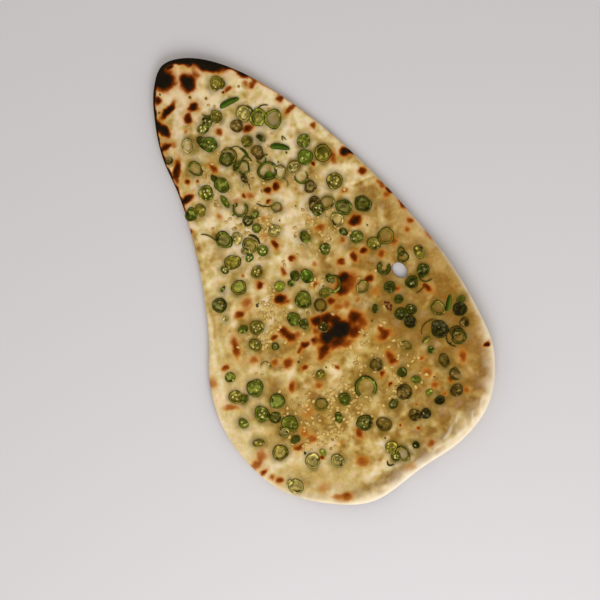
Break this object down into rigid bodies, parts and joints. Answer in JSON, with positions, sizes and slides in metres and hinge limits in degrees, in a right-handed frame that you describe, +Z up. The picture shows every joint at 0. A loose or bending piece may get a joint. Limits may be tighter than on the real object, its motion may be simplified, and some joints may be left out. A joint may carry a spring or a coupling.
{
  "type": "naan bread",
  "caption": "Teardrop flatbread with a curled rim, a charred thin tip and a small torn hole, topped with green chilli slices and sesame seeds.",
  "frame": {"origin": "on the flat underside, at the middle of the bread's outline", "axes": "+Y along the bread from the broad end to the pulled-out tip, +X to the right seen from above with the tip up, +Z up out of the topped side"},
  "size_m": [0.243, 0.4197, 0.02],
  "materials": {
    "bread": "baked dough: cream to tan, matt to faintly greasy, with brown and black scorched spots",
    "green_chilli": "roasted green chilli: thin dark glossy skin, paler wet flesh, cream seeds",
    "sesame": "toasted pale gold seeds, oily sheen"
  },
  "bodies": {
    "root": {"naan_bread": "bread", "chilli_arc_01": "green_chilli", "chilli_arc_02": "green_chilli", "chilli_arc_03": "green_chilli", "chilli_arc_04": "green_chilli", "chilli_disc_01": "green_chilli", "chilli_disc_02": "green_chilli", "chilli_disc_03": "green_chilli", "chilli_disc_04": "green_chilli", "chilli_disc_05": "green_chilli", "chilli_disc_06": "green_chilli", "chilli_disc_07": "green_chilli", "chilli_disc_08": "green_chilli", "chilli_disc_09": "green_chilli", "chilli_disc_10": "green_chilli", "chilli_disc_11": "green_chilli", "chilli_disc_12": "green_chilli", "chilli_disc_13": "green_chilli", "chilli_disc_14": "green_chilli", "chilli_disc_15": "green_chilli", "chilli_disc_16": "green_chilli", "chilli_disc_17": "green_chilli", "chilli_disc_18": "green_chilli", "chilli_disc_19": "green_chilli", "chilli_disc_20": "green_chilli", "chilli_disc_21": "green_chilli", "chilli_disc_22": "green_chilli", "chilli_disc_23": "green_chilli", "chilli_disc_24": "green_chilli", "chilli_disc_25": "green_chilli", "chilli_disc_26": "green_chilli", "chilli_disc_27": "green_chilli", "chilli_disc_28": "green_chilli", "chilli_disc_29": "green_chilli", "chilli_disc_30": "green_chilli", "chilli_disc_31": "green_chilli", "chilli_disc_32": "green_chilli", "chilli_disc_33": "green_chilli", "chilli_disc_34": "green_chilli", "chilli_disc_35": "green_chilli", "chilli_disc_36": "green_chilli", "chilli_disc_37": "green_chilli", "chilli_disc_38": "green_chilli", "chilli_disc_39": "green_chilli", "chilli_disc_40": "green_chilli", "chilli_disc_41": "green_chilli", "chilli_disc_42": "green_chilli", "chilli_disc_43": "green_chilli", "chilli_disc_44": "green_chilli", "chilli_ring_01": "green_chilli", "chilli_ring_02": "green_chilli", "chilli_ring_03": "green_chilli", "chilli_ring_04": "green_chilli", "chilli_ring_05": "green_chilli", "chilli_ring_06": "green_chilli", "chilli_ring_07": "green_chilli", "chilli_ring_08": "green_chilli", "chilli_ring_09": "green_chilli", "chilli_strip_01": "green_chilli", "chilli_strip_02": "green_chilli"}
  },
  "joints": []
}
